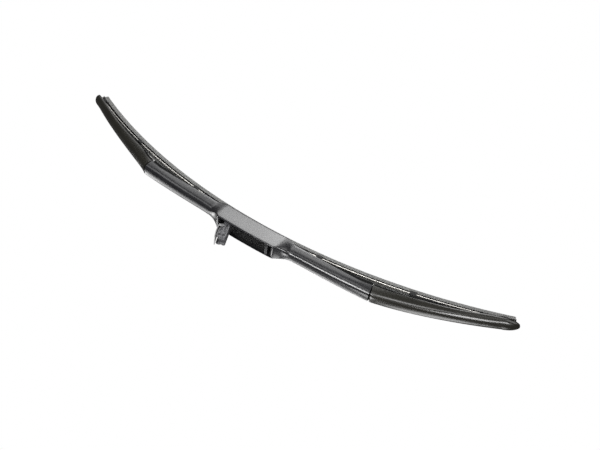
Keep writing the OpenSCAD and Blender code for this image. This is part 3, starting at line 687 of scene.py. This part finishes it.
def build_seam_shade_sheet(side, word):
    """Dark sheet on the centre cover that reaches under an end cover and fills the seam: painted shade in the
    seam gap.
    """
    rings = []
    for i in range(SHADE_SHEET_STEPS + 1):
        s = mix(SHADE_SHEET_DEPTH[0][0], SHADE_SHEET_DEPTH[-1][0], i / SHADE_SHEET_STEPS)
        depth = through(SHADE_SHEET_DEPTH, s)
        ring = ring_of(centre_section(s, depth), centre_section(s, depth + SHADE_SHEET_T))
        rings.append([at(side * s, y, h) for y, h in ring])
    loft(word + "_seam_shade_sheet", rings, "centre", "shade_sheet")


# Skirt shade strips: dark strips inside the skirts that hang below them near the seams, painted shade for the
# shaded gap under the skirts
SHADE_STRIP_IN = 1.3
SHADE_STRIP_T = 0.7
SHADE_STRIP_UP = 2.0
SHADE_STRIP_STEPS = 30
SHADE_STRIP_SEAM_CLEAR = 0.6
CENTRE_SHADE_STRIP_FROM = 92.0
CENTRE_SHADE_STRIP_PEAK = SEAM_AT - 20.0
CENTRE_SHADE_STRIP_DROP = 4.4
END_SHADE_STRIP_PEAK = SEAM_AT + 10.0
END_SHADE_STRIP_DROP = 3.3


def build_shade_strip_pair(side, name, body, far, near, peak, depth, foot_at, lean_at):
    """Dark strips of painted shade along both skirts, from nothing at far to full depth at peak and on to
    near.
    """
    for face, word in ((-1, "rear"), (1, "front")):
        rings = []
        for i in range(SHADE_STRIP_STEPS + 1):
            s = mix(min(far, near), max(far, near), i / SHADE_STRIP_STEPS)
            foot_y, foot_h = foot_at(s)
            y = foot_y - SHADE_STRIP_IN
            low, high = foot_h - depth * ease((s - far) / (peak - far)), foot_h + SHADE_STRIP_UP
            corners = [(y, low), (y, high), (y - SHADE_STRIP_T, high), (y - SHADE_STRIP_T, low)]
            rings.append([at(side * (s + lean_at(s, h)), face * w, h) for w, h in corners])
        loft(f"{name}_{word}_skirt_shade_strip", rings, body, "shade_sheet")


def build_skirt_shade_strips(side, word):
    end = ENDS[side]
    build_shade_strip_pair(side, word + "_centre", "centre", CENTRE_SHADE_STRIP_FROM, SEAM_AT - SHADE_STRIP_SEAM_CLEAR,
                   CENTRE_SHADE_STRIP_PEAK, CENTRE_SHADE_STRIP_DROP, lambda s: centre_section(s)[-1], lambda s, h: 0.0)
    build_shade_strip_pair(side, word + "_end", word + "_section", end["shade_strips_to"], SEAM_AT + SHADE_STRIP_SEAM_CLEAR,
                   END_SHADE_STRIP_PEAK, END_SHADE_STRIP_DROP, lambda s: end_section(s, end)[-1], lean)


# Cross walls of the recess: its two ends, and the bar that keeps the arm's spring cover down.
# Each goes from s0 to s1, with its crown at top
CROSS_WALLS = {
    "recess_left_wall": {"s0": -RECESS_LEFT - WALL, "s1": -RECESS_LEFT + 0.05, "top": 30.6},
    "recess_cross_bar": {"s0": 30.3, "s1": 33.3, "top": 31.3},
    "recess_right_wall": {"s0": RECESS_RIGHT - 0.05, "s1": RECESS_RIGHT + WALL, "top": 30.6},
}
CROSS_HALF = RECESS_HALF + 0.2
CROSS_SILL = BRIDGE_MID_H + 0.3
CROSS_FOOT = 23.4
TONGUE_HALF = 6.0
CROSS_CROWN = 0.35
CROWN_STEPS = 10


def build_cross_wall(name, s0, s1, top):
    """Wall across the recess: wide above the bridge, narrow between its plates, with a crowned top."""
    outline = [(-TONGUE_HALF, CROSS_FOOT), (TONGUE_HALF, CROSS_FOOT), (TONGUE_HALF, CROSS_SILL),
               (CROSS_HALF, CROSS_SILL)]
    for i in range(CROWN_STEPS + 1):
        across = 1 - 2 * i / CROWN_STEPS
        outline.append((across * CROSS_HALF, top - CROSS_CROWN * across ** 2))
    outline += [(-CROSS_HALF, CROSS_SILL), (-TONGUE_HALF, CROSS_SILL)]
    wall = loft(name, [[at(s, y, h) for y, h in outline] for s in (s0, s1)], "centre", "cover")
    bevel(wall, 0.3, 3, 50)


SIDES = ((-1, "left"), (1, "right"))
for name, sizes in CROSS_WALLS.items():
    build_cross_wall(name, **sizes)
build_centre_cover()
for side, word in SIDES:
    build_end_cover(side, word)
    build_seam_shade_sheet(side, word)
    build_skirt_shade_strips(side, word)

# Rubber and strips
# The rubber's front half from the lip up: lip, neck, shoulder, claw groove, strip slot, head
RUBBER_HALF = [
    (0.35, 0.0), (0.5, 3.4), (0.45, 4.2), (0.45, 4.8), (0.6, 5.0), (2.2, 5.4), (2.4, 5.6), (2.4, 6.2),
    (2.2, 6.4), (1.15, 6.4), (1.0, 6.55), (1.0, 8.75), (1.15, 8.9), (2.4, 8.9), (2.6, 9.1), (2.6, 9.6),
    (2.45, 9.75), (0.95, 9.75), (0.95, 10.85), (1.45, 10.85), (1.6, 11.0), (1.6, 11.45), (1.4, 11.6),
]
# Edges of that half that lie in the claw groove
GROOVE_EDGES = range(8, 13)
STRIP = [(1.0, 9.85), (1.05, 9.8), (3.85, 9.8), (4.0, 9.95),
         (4.0, 10.65), (3.85, 10.8), (1.05, 10.8), (1.0, 10.75)]
STRIP_SHORT = 2.0
RUN_STEP = 3.0
# The middle run rides on the element, this far each way along s. The others ride on no body
MIDDLE_REACH = 35.0


def other_half(profile):
    return [(-y, h) for y, h in reversed(profile)]


def build_run(name, profile, s0, s1, body, material):
    """Extrusion of a profile along the lip from s0 to s1."""
    count = max(2, int(abs(s1 - s0) / RUN_STEP))
    stations = [mix(s0, s1, i / count) for i in range(count + 1)]
    rings = [[at(s, y, h) for y, h in profile] for s in stations]
    run = loft(name, rings, body, material, [s * MM for s in stations])
    return run


def darken_groove(run, edges):
    """Painted shade: black rubber on the faces of the claw groove, on both halves."""
    run.data.materials.append(MATERIALS["groove_painted_shade"])
    for k in range(len(run.data.polygons) - 2):
        edge = k % edges
        if edge in GROOVE_EDGES or edges - 2 - edge in GROOVE_EDGES:
            run.data.polygons[k].material_index = 1


def blend_along(run):
    """Bakes the run's place into its mesh; the run rides on no body."""
    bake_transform(run)


def build_long_piece(kind, profile, end, material, node):
    """Middle run and two runs on each side of the rubber or of a strip."""
    middle = build_run(kind + "_run_middle", profile, -MIDDLE_REACH, MIDDLE_REACH, "element", material)
    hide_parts(node)
    runs = [middle]
    for side, word in SIDES:
        inner = build_run(f"{kind}_run_{word}_inner", profile, side * MIDDLE_REACH, side * SEAM_AT,
                          None, material)
        blend_along(inner)
        outer = build_run(f"{kind}_run_{word}_outer", profile, side * SEAM_AT, side * end,
                          None, material)
        blend_along(outer)
        runs += [inner, outer]
    return runs


rubber = RUBBER_HALF + other_half(RUBBER_HALF)
for run in build_long_piece("rubber", rubber, HALF_LEN, "rubber", "rubber_element"):
    darken_groove(run, len(rubber))
for kind, profile in (("front", STRIP), ("rear", other_half(STRIP))):
    build_long_piece(kind, profile, HALF_LEN - STRIP_SHORT, "strip", kind + "_steel_strip")

# Steel and small parts kept from CAD: their material and the bevel of their edges in mm
NODE_LOOKS = {"bridge": ("steel_lever", 0.25), "arm_pin": ("pin", 0.2), "adaptor_lid": ("lid", 0.25)}
for _, word in SIDES:
    NODE_LOOKS[word + "_lever"] = ("steel_lever", 0.2)
    NODE_LOOKS[word + "_hinge_rivet"] = ("pin", 0.2)
    NODE_LOOKS[word + "_hinge_washers"] = ("liner", 0.05)
    for place in ("outer", "inner"):
        yoke = f"{word}_{place}_yoke"
        NODE_LOOKS[yoke] = ("yoke", 0.2)
        NODE_LOOKS[yoke + "_rivet"] = ("pin", 0.15)
        NODE_LOOKS[yoke + "_liner"] = ("liner", 0.02)
for node, (look, width) in NODE_LOOKS.items():
    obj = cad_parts[node]
    obj.data.materials.clear()
    obj.data.materials.append(MATERIALS[look])
    bevel(obj, width, 2, 35)

# Adaptor, swung out. Places on it: u from the pin to its free end, v towards the lid
SWING = math.radians(66.0)
ADAPTOR_HALF = 6.0
ADAPTOR_SHARP = math.radians(35)
# Pockets moulded into both cheeks, and the hollow across the free end: u, v, half length, half height
CHEEK_POCKETS = [(26.0, 4.0, 1.5, 1.5), (26.0, -0.7, 1.5, 1.6), (18.5, 3.6, 2.6, 1.7), (14.5, -0.6, 6.5, 1.2)]
POCKET_DEPTH = 1.3
CUT_PAST = 2.0
END_HOLLOW = (33.6, 0.8, 4.4, 3.0)
OVAL_STEPS = 28


def on_adaptor(u, y, v):
    """A place on the adaptor in metres."""
    x = u * math.cos(SWING) - v * math.sin(SWING)
    z = u * math.sin(SWING) + v * math.cos(SWING)
    return Vector((x, y, z)) * MM


def oval_cutter(u, v, half_u, half_v, y0, y1):
    """Cutter across the adaptor with an oval outline."""
    angles = [2 * math.pi * i / OVAL_STEPS for i in range(OVAL_STEPS)]
    oval = [(u + half_u * math.cos(a), v + half_v * math.sin(a)) for a in angles]
    return cutter_between(*([on_adaptor(p, y, q) for p, q in oval] for y in (y0, y1)))


def build_adaptor():
    """The CAD adaptor with its moulded pockets and the hollow of its free end."""
    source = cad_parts["adaptor_body"]
    mesh = source.data.copy()
    mesh.transform(source.matrix_world)
    mesh.materials.clear()
    mesh.materials.append(MATERIALS["adaptor"])
    body = place_mesh("adaptor_body_detailed", mesh)
    past = ADAPTOR_HALF + CUT_PAST
    cutters = []
    for pocket in CHEEK_POCKETS:
        cutters.append(oval_cutter(*pocket, -past, POCKET_DEPTH - ADAPTOR_HALF))
        cutters.append(oval_cutter(*pocket, ADAPTOR_HALF - POCKET_DEPTH, past))
    cutters.append(oval_cutter(*END_HOLLOW, -past, past))
    cut_away(body, cutters)
    for p in body.data.polygons:
        p.use_smooth = True
    body.data.set_sharp_from_angle(angle=ADAPTOR_SHARP)
    bevel(body, 0.2, 2, 35)
    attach(body, "adaptor")
    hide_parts("adaptor_body")


build_adaptor()

# Stage and light: the floor is white to the camera and lets every other ray through
FLOOR_HALF = 4.0
FLOOR_DROP = 0.0006
AMBIENT = 0.1


def build_floor():
    material, tree, shader, out = new_material("pale_floor")
    tree.nodes.remove(shader)
    seen = add(tree, "ShaderNodeLightPath").outputs["Is Camera Ray"]
    white = add(tree, "ShaderNodeEmission", {"Color": WHITE, "Strength": 1.0})
    clear = add(tree, "ShaderNodeBsdfTransparent")
    both = add(tree, "ShaderNodeMixShader", {0: seen, 1: clear.outputs[0], 2: white.outputs[0]})
    tree.links.new(both.outputs[0], out.inputs["Surface"])
    bm = bmesh.new()
    for x, y in ((-1, -1), (1, -1), (1, 1), (-1, 1)):
        bm.verts.new((x * FLOOR_HALF, y * FLOOR_HALF, cad_box[0][2] - FLOOR_DROP))
    bm.faces.new(bm.verts)
    mesh = bpy.data.meshes.new("floor")
    bm.to_mesh(mesh)
    bm.free()
    floor = place_mesh("floor", mesh)
    floor.data.materials.append(material)


def build_room():
    """White room to the camera, and a dim one to all that lights the blade."""
    world = bpy.data.worlds.new("white_room")
    scene.world = world
    world.use_nodes = True
    tree = world.node_tree
    tree.nodes.clear()
    seen = add(tree, "ShaderNodeLightPath").outputs["Is Camera Ray"]
    white = add(tree, "ShaderNodeBackground", {"Color": WHITE, "Strength": 1.0})
    dim = add(tree, "ShaderNodeBackground", {"Color": WHITE, "Strength": AMBIENT})
    both = add(tree, "ShaderNodeMixShader", {0: seen, 1: dim.outputs[0], 2: white.outputs[0]})
    add(tree, "ShaderNodeOutputWorld", {"Surface": both.outputs[0]})


def softbox(name, place, width, height, radiance, aim=(0.0228, 0.0, -0.02)):
    """Rectangle of light at a place in metres, turned to aim, which is the middle of the blade."""
    light = bpy.data.lights.new(name, "AREA")
    light.shape = "RECTANGLE"
    light.size = width
    light.size_y = height
    light.energy = radiance * width * height * math.pi
    obj = bpy.data.objects.new(name, light)
    scene.collection.objects.link(obj)
    obj.location = Vector(place)
    obj.rotation_euler = (Vector(aim) - obj.location).to_track_quat("-Z", "Y").to_euler()


def mirrored(x, z, tilt, slope, distance):
    """Place that a face at (x, 0, z) mirrors to the camera: tilt 0 is a front face, 90 a roof."""
    face = Vector((x, 0.0, z))
    normal = Vector((slope, math.cos(math.radians(tilt)), math.sin(math.radians(tilt)))).normalized()
    view = (CAMERA_AT - face).normalized()
    return face + (2 * normal.dot(view) * normal - view) * distance


# Boxes whose reflections shape the gloss. Each lies where a face of the blade mirrors it to the camera:
# name, x and z of the face, its tilt in degrees, its slope along x, distance, width, height, radiance
GLOSS = [
    ("left_end_softbox", -0.2, -0.055, 0, 0.0, 0.94, 0.3, 0.4, 1.4),
    ("left_side_softbox", -0.085, -0.016, 4, 0.0, 0.94, 0.24, 0.34, 2.4),
    ("left_upper_side_softbox", -0.085, -0.018, 15, -0.03, 1.0, 0.26, 0.36, 3.7),
    ("left_shoulder_softbox", -0.085, -0.018, 34, -0.05, 1.0, 0.28, 0.3, 4.2),
    ("hump_softbox", 0.03, -0.005, 0, 0.0, 0.94, 0.25, 0.34, 6.5),
    ("waist_softbox", 0.078, -0.012, 0, 0.0, 0.94, 0.08, 0.34, 8.0),
    ("right_side_softbox", 0.14, -0.024, 2, 0.0, 0.94, 0.14, 0.42, 4.6),
    ("right_end_softbox", 0.21, -0.048, 0, 0.0, 0.94, 0.14, 0.34, 5.0),
    ("right_tip_side_softbox", 0.28, -0.08, 0, 0.0, 0.94, 0.14, 0.34, 7.0),
    ("upper_side_softbox", 0.13, -0.02, 14, 0.0, 1.0, 0.3, 0.32, 4.6),
    ("lower_ridge_softbox", 0.13, -0.02, 30, 0.05, 1.0, 0.3, 0.2, 4.5),
    ("ridge_softbox", 0.13, -0.02, 54, 0.08, 1.0, 0.36, 0.3, 30.0),
    ("right_ridge_softbox", 0.23, -0.055, 40, 0.22, 1.0, 0.36, 0.3, 7.0),
    ("left_crest_softbox", -0.1, -0.02, 100, -0.06, 1.0, 0.34, 0.34, 4.0),
    ("rim_softbox", 0.02, 0.0, 92, 0.0, 1.0, 0.2, 0.3, 3.5),
    ("right_roof_softbox", 0.13, -0.02, 104, 0.1, 1.0, 0.34, 0.3, 6.0),
    ("right_crest_softbox", 0.13, -0.02, 122, 0.08, 1.0, 0.34, 0.3, 5.0),
    ("right_end_roof_softbox", 0.24, -0.058, 100, 0.42, 1.0, 0.4, 0.4, 6.0),
    ("right_ramp_softbox", 0.067, 0.0, 90, 0.38, 0.8, 0.14, 0.14, 8.0),
    ("left_ramp_softbox", -0.02, 0.0, 90, -0.42, 0.8, 0.16, 0.16, 7.0),
    ("adaptor_end_softbox", 0.01, 0.02, 90, 0.445, 0.8, 0.16, 0.16, 12.0),
]

build_floor()
build_room()
for name, x, z, tilt, slope, distance, width, height, radiance in GLOSS:
    softbox(name, mirrored(x, z, tilt, slope, distance), width, height, radiance, (x, 0.0, z))
# A small box for the glint on the right tip, and two broad ones that reach rubber and steel
softbox("tip_softbox", (0.89, 0.27, 0.68), 0.3, 0.3, 24.0, (0.27, 0.0, -0.07))
softbox("key_softbox", (0.3, 1.6, 1.3), 0.8, 0.8, 4.0)
softbox("side_softbox", (1.0, 1.1, -0.4), 1.0, 1.0, 3.0)
